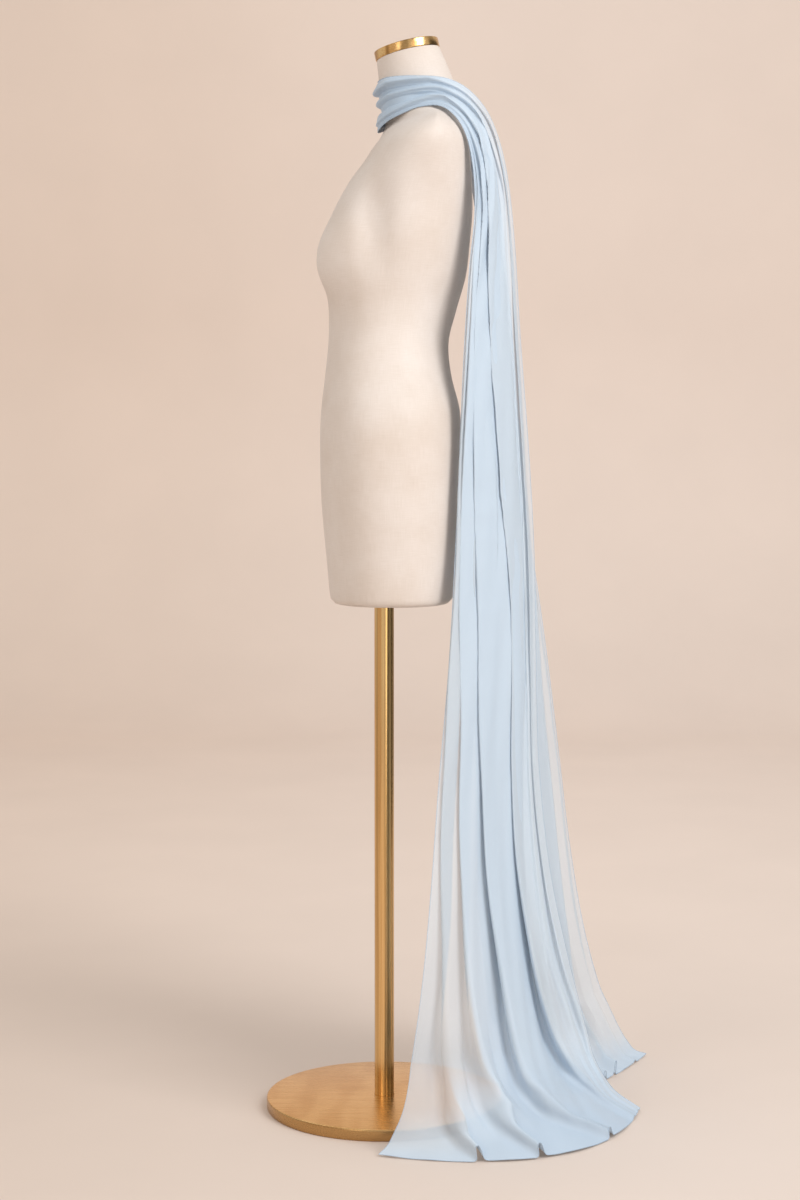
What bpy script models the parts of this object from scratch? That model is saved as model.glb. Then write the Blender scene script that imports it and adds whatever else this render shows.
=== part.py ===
"""A chiffon scarf on a dress form.

The scarf is one long rectangle of chiffon. Its middle crosses the throat in soft folds, it passes
round both sides of the neck, and its two ends fall down the back in pipes and trail on the floor.
The form is a linen-covered torso without arms or legs, on a brass pole and a round brass base.

Frame: +Z up, -Y the form's front, +X its left side. The origin is the centre of the base's
underside. All sizes are in metres.
"""

import math

import bmesh
import bpy
from mathutils import Matrix, Vector
from mathutils.bvhtree import BVHTree

# --- Stand ---------------------------------------------------------------------------------------
BASE_RADIUS = 0.184
BASE_THICKNESS = 0.018
BASE_EDGE = 0.0025
POLE_RADIUS = 0.0152
POLE_RECESS = 0.008  # how deep the pole's foot is set into the base
POLE_SOCKET = 0.070  # how far the pole runs up into the torso
ROUND_SIDES = 64
POLE_SIDES = 32

# --- Torso ---------------------------------------------------------------------------------------
HEM_Z = 0.793  # the torso's flat underside
TORSO_SIDES = 44
TORSO_LEVELS = 40
BUST_X = 0.074
BUST_Z = 1.312
BUST_REACH = 0.026  # how far each cup stands out from the rib cage
BUST_SPREAD = 0.050
NECK_CAP_THICKNESS = 0.0135
NECK_CAP_EDGE = 0.0015
NECK_CAP_MARGIN = 0.0012  # the cap's rim stands this much outside the linen
FIT_GAP = 0.0003  # between pieces that touch

# height: the ring's centre; side: where the side seam lies along Y; front, back: the ring's reach
# along Y; half_width: along X; square: 2 is an ellipse, more is boxier; tilt: degrees, down in front.
TORSO_COLUMNS = ("height", "side", "front", "back", "half_width", "square", "tilt")
TORSO_RINGS = (
    (0.793, 0.012, -0.077, 0.100, 0.155, 2.3, 0.0),
    (0.797, 0.012, -0.082, 0.105, 0.160, 2.3, 0.0),
    (0.856, 0.012, -0.088, 0.111, 0.166, 2.3, 0.0),
    (0.949, 0.011, -0.096, 0.115, 0.172, 2.3, 0.0),
    (1.041, 0.010, -0.098, 0.118, 0.168, 2.3, 0.0),
    (1.087, 0.009, -0.096, 0.116, 0.157, 2.3, 0.0),
    (1.140, 0.007, -0.090, 0.103, 0.135, 2.3, 0.0),
    (1.190, 0.006, -0.085, 0.099, 0.119, 2.2, 0.0),
    (1.240, 0.009, -0.084, 0.111, 0.119, 2.2, 0.0),
    (1.290, 0.014, -0.085, 0.125, 0.130, 2.2, 0.0),
    (1.340, 0.022, -0.083, 0.131, 0.141, 2.2, 0.0),
    (1.390, 0.034, -0.073, 0.135, 0.149, 2.2, 0.0),
    (1.430, 0.050, -0.053, 0.134, 0.160, 2.2, 0.0),
    (1.460, 0.060, -0.031, 0.132, 0.170, 2.1, 0.0),
    (1.480, 0.067, -0.018, 0.130, 0.174, 2.0, 0.0),
    (1.494, 0.073, -0.008, 0.127, 0.169, 1.8, 0.0),
    (1.506, 0.077, -0.002, 0.124, 0.157, 1.5, 0.0),
    (1.515, 0.078, 0.002, 0.121, 0.138, 1.3, 0.5),
    (1.523, 0.077, 0.003, 0.118, 0.112, 1.3, 1.0),
    (1.531, 0.070, 0.001, 0.116, 0.087, 1.5, 2.0),
    (1.543, 0.062, -0.002, 0.114, 0.070, 1.9, 3.5),
    (1.560, 0.056, -0.005, 0.111, 0.062, 2.0, 5.5),
    (1.578, 0.051, -0.007, 0.106, 0.057, 2.0, 8.0),
    (1.600, 0.045, -0.009, 0.097, 0.053, 2.0, 10.5),
    (1.625, 0.036, -0.012, 0.085, 0.049, 2.0, 13.0),
)

# --- Scarf ---------------------------------------------------------------------------------------
CLOTH_THICKNESS = 0.0015
CLOTH_CLEARANCE = 0.0018  # between the cloth and the form
STEPS_PER_PIPE = 5
LANDING_HEIGHT = 0.13  # below this height the cloth turns to lie on the floor
FLOOR_CLEARANCE = 0.0003

# run: along the cloth from the middle of the throat; lower_*, upper_*: the two long edges of the
# scarf, lower and upper at the neck, which become its outer and inner edge down the back;
# bow: how far the cloth between the edges bulges outward; fold: the steepest turn of a fold.
SCARF_COLUMNS = (
    "run",
    "lower_x", "lower_y", "lower_z",
    "upper_x", "upper_y", "upper_z",
    "bow", "fold",
)
LEFT_END = (
    (0.00, 0.000, -0.0095, 1.508, 0.000, -0.0085, 1.583, 0.000, 46),
    (0.05, 0.048, 0.008, 1.519, 0.040, 0.006, 1.584, 0.000, 48),
    (0.10, 0.076, 0.050, 1.533, 0.060, 0.049, 1.583, 0.001, 50),
    (0.145, 0.090, 0.086, 1.533, 0.059, 0.094, 1.579, 0.003, 55),
    (0.19, 0.100, 0.113, 1.507, 0.050, 0.129, 1.562, 0.006, 64),
    (0.24, 0.105, 0.128, 1.463, 0.037, 0.153, 1.526, 0.009, 76),
    (0.32, 0.107, 0.134, 1.386, 0.020, 0.170, 1.455, 0.013, 88),
    (0.42, 0.109, 0.127, 1.295, 0.011, 0.179, 1.350, 0.016, 95),
    (0.56, 0.112, 0.120, 1.170, 0.009, 0.188, 1.190, 0.018, 98),
    (0.72, 0.120, 0.113, 1.010, 0.010, 0.195, 1.015, 0.019, 99),
    (0.88, 0.130, 0.105, 0.850, 0.011, 0.205, 0.850, 0.020, 99),
    (1.04, 0.146, 0.096, 0.690, 0.012, 0.216, 0.690, 0.023, 98),
    (1.20, 0.166, 0.083, 0.535, 0.014, 0.226, 0.535, 0.027, 96),
    (1.36, 0.187, 0.071, 0.380, 0.016, 0.240, 0.380, 0.034, 92),
    (1.50, 0.207, 0.057, 0.240, 0.019, 0.250, 0.245, 0.046, 86),
    (1.62, 0.224, 0.040, 0.125, 0.022, 0.259, 0.135, 0.062, 76),
    (1.70, 0.235, 0.024, 0.052, 0.025, 0.290, 0.075, 0.080, 64),
    (1.77, 0.243, 0.009, 0.014, 0.027, 0.339, 0.032, 0.108, 50),
    (1.85, 0.252, -0.007, 0.001, 0.026, 0.398, 0.001, 0.126, 38),
)
# The right end is written as if it were on the left side too, and is mirrored when it is made.
# It hangs turned the other way: its outer edge trails behind.
RIGHT_END = (
    (0.00, 0.000, -0.0095, 1.508, 0.000, -0.0085, 1.583, 0.000, 46),
    (0.05, 0.048, 0.008, 1.519, 0.040, 0.006, 1.584, 0.000, 48),
    (0.10, 0.076, 0.050, 1.533, 0.060, 0.049, 1.583, 0.001, 50),
    (0.145, 0.090, 0.086, 1.533, 0.059, 0.094, 1.579, 0.003, 55),
    (0.19, 0.100, 0.113, 1.507, 0.050, 0.129, 1.562, 0.006, 64),
    (0.24, 0.105, 0.131, 1.463, 0.037, 0.153, 1.526, 0.010, 76),
    (0.32, 0.108, 0.144, 1.386, 0.021, 0.169, 1.453, 0.015, 88),
    (0.42, 0.110, 0.155, 1.292, 0.013, 0.173, 1.340, 0.022, 95),
    (0.56, 0.110, 0.176, 1.170, 0.012, 0.168, 1.185, 0.027, 98),
    (0.72, 0.117, 0.207, 1.010, 0.015, 0.158, 1.015, 0.027, 98),
    (0.88, 0.125, 0.237, 0.850, 0.018, 0.150, 0.850, 0.027, 97),
    (1.04, 0.136, 0.262, 0.690, 0.022, 0.145, 0.690, 0.028, 96),
    (1.20, 0.150, 0.283, 0.535, 0.025, 0.143, 0.535, 0.030, 94),
    (1.36, 0.170, 0.303, 0.380, 0.028, 0.146, 0.380, 0.033, 90),
    (1.50, 0.195, 0.328, 0.240, 0.031, 0.155, 0.240, 0.034, 84),
    (1.62, 0.224, 0.360, 0.125, 0.034, 0.172, 0.125, 0.032, 76),
    (1.70, 0.246, 0.388, 0.054, 0.036, 0.200, 0.058, 0.026, 66),
    (1.77, 0.265, 0.415, 0.014, 0.038, 0.242, 0.020, 0.018, 52),
    (1.85, 0.281, 0.442, 0.001, 0.040, 0.290, 0.001, 0.010, 40),
)
SHOULDER_RUN = 0.19  # where the neck's stretch ends and a fall begins
HANGING_RUN = 0.43  # below this place a fall hangs nearly straight
FLOOR_RUN = 1.62  # where a fall ends and its train begins
SEAM_HALF_GAP = 0.0005  # along the run, on each side of a seam

WRAP_STEP = 0.019
SHOULDER_STEP = 0.027
FALL_STEP = 0.120
TRAIN_STEP = 0.033

# share: each pipe's part of the cloth's width, from the lower edge; hung, laid: how deep its fold
# is where it hangs, and where it lies on the floor.
PIPE_COLUMNS = ("share", "hung", "laid")
PIPES = (
    (0.20, 0.80, 0.05),
    (0.18, 1.00, 1.00),
    (0.18, 0.96, 0.85),
    (0.15, 0.92, 0.10),
    (0.16, 1.00, 0.75),
    (0.13, 0.92, 0.10),
)

# name: base colour, roughness, metallic
FINISHES = {
    "brass": ((0.62, 0.40, 0.16, 1), 0.30, 1.0),
    "linen": ((0.84, 0.77, 0.69, 1), 0.85, 0.0),
    "chiffon": ((0.62, 0.74, 0.86, 1), 0.60, 0.0),
}


# --- Small tools ---------------------------------------------------------------------------------
def clear_scene():
    for thing in list(bpy.data.objects):
        bpy.data.objects.remove(thing)


def new_collection(name):
    made = bpy.data.collections.new(name)
    bpy.context.scene.collection.children.link(made)
    return made


def finish_material(name):
    colour, roughness, metallic = FINISHES[name]
    made = bpy.data.materials.new(name)
    made.use_nodes = True
    made.diffuse_color = colour
    shader = made.node_tree.nodes["Principled BSDF"]
    shader.inputs["Base Color"].default_value = colour
    shader.inputs["Roughness"].default_value = roughness
    shader.inputs["Metallic"].default_value = metallic
    return made


def named_rows(columns, rows):
    return [dict(zip(columns, row)) for row in rows]


def smooth_row(rows, key, at):
    """The row at a place between the given rows, on a smooth curve through all of them."""
    last = len(rows) - 2
    i = next((k for k in range(last) if at < rows[k + 1][key]), last)
    before, low, high = rows[max(i - 1, 0)], rows[i], rows[i + 1]
    after = rows[min(i + 2, len(rows) - 1)]
    span = high[key] - low[key]
    t = (at - low[key]) / span
    found = {}
    for name in low:
        leave = span * (high[name] - before[name]) / (high[key] - before[key])
        arrive = span * (after[name] - low[name]) / (after[key] - low[key])
        found[name] = (
            (2 * t**3 - 3 * t**2 + 1) * low[name]
            + (t**3 - 2 * t**2 + t) * leave
            + (3 * t**2 - 2 * t**3) * high[name]
            + (t**3 - t**2) * arrive
        )
    return found


def evenly(start, end, count):
    return [start + (end - start) * k / (count - 1) for k in range(count)]


def object_from_bmesh(name, shape, collection, material):
    mesh = bpy.data.meshes.new(name)
    shape.to_mesh(mesh)
    shape.free()
    made = bpy.data.objects.new(name, mesh)
    collection.objects.link(made)
    mesh.materials.append(material)
    return made


def round_off(thing, angle=35):
    thing.data.shade_smooth()
    thing.data.set_sharp_from_angle(angle=math.radians(angle))


def skin(shape, rings, closed):
    """Quads between neighbouring rings of the same length; returns the rings of vertices."""
    made = [[shape.verts.new(point) for point in ring] for ring in rings]
    for below, above in zip(made, made[1:]):
        count = len(below)
        for k in range(count if closed else count - 1):
            after = (k + 1) % count
            shape.faces.new((below[k], below[after], above[after], above[k]))
    return made


# --- Stand ---------------------------------------------------------------------------------------
def cylinder(name, radius, low, high, sides, collection, material=None):
    shape = bmesh.new()
    bmesh.ops.create_cone(
        shape, cap_ends=True, segments=sides, radius1=radius, radius2=radius, depth=high - low
    )
    bmesh.ops.translate(shape, verts=shape.verts, vec=(0, 0, (low + high) / 2))
    made = object_from_bmesh(name, shape, collection, material)
    return made


def bevel_edges(thing, width, segments, angle=40):
    bevel = thing.modifiers.new("rounded edge", "BEVEL")
    bevel.width = width
    bevel.segments = segments
    bevel.limit_method = "ANGLE"
    bevel.angle_limit = math.radians(angle)


def cut(thing, cutter):
    cutter.hide_render = True
    cutter.display_type = "WIRE"
    boolean = thing.modifiers.new("socket", "BOOLEAN")
    boolean.operation = "DIFFERENCE"
    boolean.object = cutter


def build_stand(parts, cutters, brass):
    base = cylinder("base_disc", BASE_RADIUS, 0, BASE_THICKNESS, ROUND_SIDES, parts, brass)
    foot = BASE_THICKNESS - POLE_RECESS
    recess = cylinder(
        "pole_recess", POLE_RADIUS + FIT_GAP, foot, BASE_THICKNESS + 0.01, POLE_SIDES, cutters, brass
    )
    bevel_edges(base, BASE_EDGE, 2)
    cut(base, recess)
    round_off(base)
    top = HEM_Z + POLE_SOCKET
    pole = cylinder(
        "stand_pole", POLE_RADIUS, foot + FIT_GAP, top - FIT_GAP, POLE_SIDES, parts, brass
    )
    round_off(pole)


# --- Torso ---------------------------------------------------------------------------------------
def torso_ring(row):
    """One closed ring of the torso, counter-clockwise from above, tilted about its side seam."""
    tilt = Matrix.Rotation(math.radians(row["tilt"]), 3, "X")
    power = 2 / row["square"]
    ring = []
    for k in range(TORSO_SIDES):
        angle = 2 * math.pi * k / TORSO_SIDES
        across, along = math.cos(angle), math.sin(angle)
        reach = row["back"] - row["side"] if along > 0 else row["side"] - row["front"]
        x = row["half_width"] * math.copysign(abs(across) ** power, across)
        y = reach * math.copysign(abs(along) ** power, along)
        flat = tilt @ Vector((x, y, 0))
        ring.append(Vector((0, row["side"], row["height"])) + flat)
    return ring


def with_bust(point):
    """The point moved forward where a cup stands out from the front of the rib cage."""
    if point.y > 0:
        return point
    sideways = (abs(point.x) - BUST_X) / BUST_SPREAD
    upward = (point.z - BUST_Z) / BUST_SPREAD
    upward *= 0.80 if upward > 0 else 1.15
    swell = BUST_REACH * math.exp(-(sideways**2) - upward**2)
    return point - Vector((0, swell, 0))


def torso_levels(rows):
    """Heights of the torso's rings, closer together where the shoulders turn into the neck."""
    sharp_end = rows[1]["height"]
    rounded = evenly(sharp_end, 1.42, TORSO_LEVELS // 2)
    shoulders = evenly(1.42, rows[-1]["height"], TORSO_LEVELS // 2 + 1)[1:]
    return [rows[0]["height"], *rounded, *shoulders]


def build_torso(parts, cutters, linen):
    rows = named_rows(TORSO_COLUMNS, TORSO_RINGS)
    shape = bmesh.new()
    rings = [
        [with_bust(point) for point in torso_ring(smooth_row(rows, "height", level))]
        for level in torso_levels(rows)
    ]
    made = skin(shape, rings, closed=True)
    shape.faces.new(reversed(made[0]))
    shape.faces.new(made[-1])
    torso = object_from_bmesh("form_torso", shape, parts, linen)
    socket = cylinder(
        "torso_socket",
        POLE_RADIUS + FIT_GAP,
        HEM_Z - 0.01,
        HEM_Z + POLE_SOCKET,
        POLE_SIDES,
        cutters,
        linen,
    )
    cut(torso, socket)
    round_off(torso, 50)
    return torso, rows[-1]


def build_neck_cap(parts, brass, top):
    """The brass cap on the tilted top of the neck."""
    half_depth = (top["back"] - top["front"]) / 2 + NECK_CAP_MARGIN
    half_width = top["half_width"] + NECK_CAP_MARGIN
    cap = cylinder("neck_cap", 1, FIT_GAP, FIT_GAP + NECK_CAP_THICKNESS, ROUND_SIDES, parts, brass)
    tilt = Matrix.Rotation(math.radians(top["tilt"]), 4, "X")
    off_side = (top["back"] + top["front"]) / 2 - top["side"]
    seat = Matrix.Translation((0, top["side"], top["height"])) @ tilt
    size = Matrix.Diagonal((half_width, half_depth, 1, 1))
    cap.data.transform(seat @ Matrix.Translation((0, off_side, 0)) @ size)
    bevel_edges(cap, NECK_CAP_EDGE, 2)
    round_off(cap)


# --- Scarf ---------------------------------------------------------------------------------------
def pleated_path(fold, lying):
    """(along, beside) of one section across the cloth: along runs from 0 to 1, and the cloth turns
    left and right of it as a river meanders, so that each pipe keeps its own length of cloth."""
    path = [(0.0, 0.0)]
    for pipe in named_rows(PIPE_COLUMNS, PIPES):
        stride = pipe["share"] / STEPS_PER_PIPE
        depth = pipe["hung"] + (pipe["laid"] - pipe["hung"]) * lying
        for step in range(STEPS_PER_PIPE):
            heading = fold * depth * math.sin(2 * math.pi * (step + 0.5) / STEPS_PER_PIPE)
            along, beside = path[-1]
            path.append((along + stride * math.cos(heading), beside + stride * math.sin(heading)))
    whole = path[-1][0]
    return [(along / whole, beside / whole) for along, beside in path]


def edge_point(row, edge):
    return Vector((row[edge + "_x"], row[edge + "_y"], row[edge + "_z"]))


def scarf_section(rows, run):
    """The points across the cloth at one place along it."""
    row = smooth_row(rows, "run", run)
    lower, upper = edge_point(row, "lower"), edge_point(row, "upper")
    chord = upper - lower
    ahead, behind = (smooth_row(rows, "run", run + step) for step in (0.004, -0.004))
    travel = sum(
        (edge_point(ahead, edge) - edge_point(behind, edge) for edge in ("lower", "upper")),
        Vector(),
    )
    outward = travel.cross(chord).normalized()
    lying = max(0.0, 1 - (lower.z + upper.z) / 2 / LANDING_HEIGHT)
    level = Vector((chord.y, -chord.x, 0)).normalized()
    rise = outward.lerp(Vector((0, 0, 1)), lying)
    spread = outward.lerp(level, lying)
    path = pleated_path(math.radians(row["fold"]), lying)
    lowest = min(beside for _, beside in path)
    points = []
    for along, beside in path:
        depth = chord.length * (beside - lowest * lying)
        bulge = row["bow"] * (1 - (2 * along - 1) ** 2)
        point = lower.lerp(upper, along) + rise * depth + spread * bulge
        point.z = max(point.z, FLOOR_CLEARANCE)
        points.append(point)
    return points


def clear_of(point, tree):
    """The point, moved out of the form where it lies inside or against it."""
    place, normal, _, _ = tree.find_nearest(point)
    if (point - place).dot(normal) < CLOTH_CLEARANCE:
        return place + normal * CLOTH_CLEARANCE
    return point


def mirrored(points):
    return [Vector((-point.x, point.y, point.z)) for point in points]


def runs_between(start, end, step):
    return evenly(start, end, max(2, round((end - start) / step) + 1))


def cloth(name, sections, tree, collection, material):
    """A wall of cloth through its sections, with its thickness on the outer side."""
    shape = bmesh.new()
    skin(shape, [[clear_of(point, tree) for point in section] for section in sections], False)
    made = object_from_bmesh(name, shape, collection, material)
    wall = made.modifiers.new("cloth thickness", "SOLIDIFY")
    wall.thickness = CLOTH_THICKNESS
    wall.offset = 1
    wall.use_even_offset = True
    made.data.shade_smooth()
    return made


def with_throat(rows):
    """The rows with one more before the first, so that the curve crosses the throat smoothly."""
    beyond = dict(rows[1], run=-rows[1]["run"])
    beyond["lower_x"] *= -1
    beyond["upper_x"] *= -1
    return [beyond, *rows]


def build_scarf(parts, tree, chiffon):
    left = with_throat(named_rows(SCARF_COLUMNS, LEFT_END))
    right = with_throat(named_rows(SCARF_COLUMNS, RIGHT_END))
    runs = runs_between(0, SHOULDER_RUN - SEAM_HALF_GAP, WRAP_STEP)
    round_left = [scarf_section(left, run) for run in runs]
    round_right = [mirrored(scarf_section(right, run)) for run in runs[1:]]
    wrap = [*reversed(round_right), *round_left]
    cloth("scarf_neck_wrap", wrap[::-1], tree, parts, chiffon)
    over_shoulder = runs_between(SHOULDER_RUN + SEAM_HALF_GAP, HANGING_RUN, SHOULDER_STEP)
    hanging = runs_between(HANGING_RUN, FLOOR_RUN - 2 * SEAM_HALF_GAP, FALL_STEP)
    laid = runs_between(FLOOR_RUN + SEAM_HALF_GAP, left[-1]["run"], TRAIN_STEP)
    for stretch, places in (("fall", over_shoulder + hanging[1:]), ("train", laid)):
        on_left = [scarf_section(left, run) for run in places]
        on_right = [mirrored(scarf_section(right, run)) for run in places]
        cloth(f"scarf_left_{stretch}", on_left[::-1], tree, parts, chiffon)
        cloth(f"scarf_right_{stretch}", on_right, tree, parts, chiffon)


def main():
    clear_scene()
    parts = new_collection("chiffon scarf on a dress form")
    cutters = new_collection("cutters")
    brass, linen, chiffon = (finish_material(name) for name in ("brass", "linen", "chiffon"))
    build_stand(parts, cutters, brass)
    torso, top = build_torso(parts, cutters, linen)
    build_neck_cap(parts, brass, top)
    bpy.context.view_layer.update()
    tree = BVHTree.FromObject(torso, bpy.context.evaluated_depsgraph_get())
    build_scarf(parts, tree, chiffon)


main()
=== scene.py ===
"""The looks of a chiffon scarf on a limbless dress form.

The scarf is one long sheet: a flat grid is draped through the tables below, fold by fold. The form
is a flat grid wrapped round and closed, and the brass of the stand is turned. Frame: +Z up, -Y the
form's front, +X its left side. Lengths are in metres, and a run is a length along the scarf.
"""

import math

import bmesh
import bpy
import numpy as np
from mathutils import Matrix, Vector
from mathutils.bvhtree import BVHTree

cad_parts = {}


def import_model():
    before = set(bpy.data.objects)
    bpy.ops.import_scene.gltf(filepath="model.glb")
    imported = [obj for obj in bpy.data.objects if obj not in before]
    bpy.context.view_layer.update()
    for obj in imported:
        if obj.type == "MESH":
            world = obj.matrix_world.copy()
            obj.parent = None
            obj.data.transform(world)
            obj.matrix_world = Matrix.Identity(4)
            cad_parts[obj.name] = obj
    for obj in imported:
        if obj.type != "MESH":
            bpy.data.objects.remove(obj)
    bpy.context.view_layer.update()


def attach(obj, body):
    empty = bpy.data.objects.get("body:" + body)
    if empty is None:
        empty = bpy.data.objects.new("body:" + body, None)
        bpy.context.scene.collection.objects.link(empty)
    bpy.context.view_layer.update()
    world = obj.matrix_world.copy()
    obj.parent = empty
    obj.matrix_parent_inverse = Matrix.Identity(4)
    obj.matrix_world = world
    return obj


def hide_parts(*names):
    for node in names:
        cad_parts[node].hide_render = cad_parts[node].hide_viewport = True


# --- Form ----------------------------------------------------------------------------------------
FORM_SIDES = 120
FORM_LEVELS = 150
FORM_GIRTH = 0.90  # the linen's width where it is wrapped round
FORM_HEIGHT = 0.86
FORM_MERGE = 0.00001
LINEN_SHARP_ANGLE = 50
HEM_Z = 0.793
HEM_REACH = 0.01  # an edge within this height of the hem belongs to it
SOCKET_RADIUS = 0.0156
SOCKET_DEPTH = 0.069
BUST_X = 0.074
BUST_Z = 1.308
BUST_REACH = 0.026
BUST_SPREAD = 0.052
BUST_FADE_UP = 0.80
BUST_FADE_DOWN = 1.10
BUST_ROUNDNESS = 2.3
ARM_HOLLOW_Y = -0.014  # the soft hollow in front of each arm stump
ARM_HOLLOW_Z = 1.372
ARM_HOLLOW_WIDTH = 0.026
ARM_HOLLOW_HEIGHT = 0.075
ARM_HOLLOW_DEPTH = 0.015
ARM_HOLLOW_MOST = 0.1  # at most this share of the half width

# height, side seam, front, back, half width, squareness, tilt
FORM_RINGS = np.array((
    (0.793, 0.012, -0.077, 0.100, 0.155, 2.3, 0.0),
    (0.797, 0.012, -0.082, 0.105, 0.160, 2.3, 0.0),
    (0.856, 0.012, -0.088, 0.111, 0.166, 2.3, 0.0),
    (0.949, 0.011, -0.096, 0.115, 0.172, 2.3, 0.0),
    (1.041, 0.010, -0.098, 0.118, 0.168, 2.3, 0.0),
    (1.087, 0.009, -0.096, 0.116, 0.157, 2.3, 0.0),
    (1.140, 0.007, -0.090, 0.103, 0.135, 2.3, 0.0),
    (1.190, 0.006, -0.085, 0.099, 0.119, 2.2, 0.0),
    (1.240, 0.009, -0.084, 0.111, 0.119, 2.2, 0.0),
    (1.290, 0.014, -0.085, 0.125, 0.130, 2.2, 0.0),
    (1.340, 0.022, -0.083, 0.131, 0.141, 2.2, 0.0),
    (1.390, 0.034, -0.073, 0.135, 0.149, 2.2, 0.0),
    (1.430, 0.050, -0.053, 0.134, 0.160, 2.2, 0.0),
    (1.460, 0.060, -0.031, 0.132, 0.170, 2.1, 0.0),
    (1.480, 0.067, -0.018, 0.130, 0.174, 2.0, 0.0),
    (1.494, 0.073, -0.008, 0.127, 0.169, 1.8, 0.0),
    (1.506, 0.077, -0.002, 0.124, 0.157, 1.5, 0.0),
    (1.515, 0.078, 0.002, 0.121, 0.138, 1.3, 0.5),
    (1.523, 0.077, 0.003, 0.118, 0.112, 1.3, 1.0),
    (1.531, 0.070, 0.001, 0.116, 0.087, 1.5, 2.0),
    (1.543, 0.062, -0.002, 0.114, 0.070, 1.9, 3.5),
    (1.560, 0.056, -0.005, 0.111, 0.062, 2.0, 5.5),
    (1.578, 0.051, -0.007, 0.106, 0.057, 2.0, 8.0),
    (1.600, 0.045, -0.009, 0.097, 0.053, 2.0, 10.5),
    (1.625, 0.036, -0.012, 0.085, 0.049, 2.0, 13.0),
))

# --- Stand ---------------------------------------------------------------------------------------
DISC_RADIUS = 0.184
LATHE_STEPS = 180
LATHE_MERGE = 0.00002
BRASS_SHARP_ANGLE = 40
# Profiles from the middle outward and back: reach from the axis, height. The cap's reach is a share
# of its half width.
DISC_PROFILE = (
    (0, 0.0100), (0.0155, 0.0100), (0.0155, 0.0176), (0.0159, 0.0180), (0.1815, 0.0180),
    (0.1828, 0.0177), (0.1837, 0.0168), (0.1840, 0.0155), (0.1840, 0.0025), (0.1837, 0.0012),
    (0.1828, 0.0003), (0.1815, 0), (0, 0),
)
POLE_PROFILE = (
    (0, 0.0103), (0.0148, 0.0103), (0.0152, 0.0107),
    (0.0152, 0.8623), (0.0148, 0.8627), (0, 0.8627),
)
CAP_PROFILE = (
    (0, 0.0003), (0.985, 0.0003), (0.996, 0.0008), (1, 0.0015), (1, 0.0123), (0.996, 0.0131),
    (0.987, 0.0136), (0.972, 0.0138), (0, 0.0138),
)
CAP_HALF_WIDTH = 0.0502
CAP_HALF_DEPTH = 0.0497
CAP_SEAT = (0, 0.036, 1.625)
CAP_OFF_SIDE = 0.0005
CAP_TILT = 13.0

# --- Scarf ---------------------------------------------------------------------------------------
SCARF_WIDTH = 0.50
SCARF_HALF_LENGTH = 1.85
SCARF_ROWS = 400
SCARF_COLUMNS = 240
CLOTH_CLEARANCE = 0.0018
FLOOR_CLEARANCE = 0.0012
LANDING_HEIGHT = 0.13  # below this the cloth begins to lie on the floor
LOOK_AHEAD = 0.004  # the part of a run that shows which way the scarf travels
HEM_RADIUS = 0.0006

# run from the throat, lower edge x y z, upper edge x y z, bow, width of cloth that shows
LEFT_END = np.array((
    (0.00, 0.000, -0.0095, 1.508, 0.000, -0.0085, 1.583, 0.000, 0.100),
    (0.05, 0.048, 0.008, 1.519, 0.040, 0.006, 1.584, 0.000, 0.098),
    (0.10, 0.076, 0.050, 1.533, 0.060, 0.049, 1.583, 0.001, 0.098),
    (0.145, 0.090, 0.086, 1.533, 0.059, 0.094, 1.579, 0.003, 0.082),
    (0.19, 0.100, 0.113, 1.507, 0.050, 0.129, 1.562, 0.006, 0.105),
    (0.24, 0.105, 0.128, 1.463, 0.037, 0.159, 1.526, 0.009, 0.160),
    (0.32, 0.107, 0.134, 1.386, 0.020, 0.183, 1.455, 0.013, 0.270),
    (0.42, 0.109, 0.127, 1.295, 0.011, 0.197, 1.350, 0.016, 0.370),
    (0.56, 0.112, 0.120, 1.170, 0.009, 0.208, 1.190, 0.018, 0.440),
    (0.72, 0.120, 0.113, 1.010, 0.010, 0.222, 1.015, 0.019, 0.480),
    (0.88, 0.130, 0.105, 0.850, 0.011, 0.232, 0.850, 0.020, 0.500),
    (1.04, 0.146, 0.096, 0.690, 0.012, 0.236, 0.690, 0.023, 0.500),
    (1.20, 0.166, 0.083, 0.535, 0.014, 0.240, 0.535, 0.026, 0.500),
    (1.36, 0.187, 0.071, 0.380, 0.016, 0.256, 0.380, 0.030, 0.500),
    (1.50, 0.207, 0.057, 0.240, 0.019, 0.284, 0.245, 0.038, 0.500),
    (1.62, 0.224, 0.040, 0.125, 0.022, 0.312, 0.135, 0.052, 0.500),
    (1.70, 0.235, 0.024, 0.052, 0.025, 0.324, 0.075, 0.074, 0.500),
    (1.77, 0.243, 0.009, 0.014, 0.027, 0.352, 0.032, 0.104, 0.520),
    (1.85, 0.252, -0.007, 0.001, 0.026, 0.398, 0.001, 0.126, 0.560),
))
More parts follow.
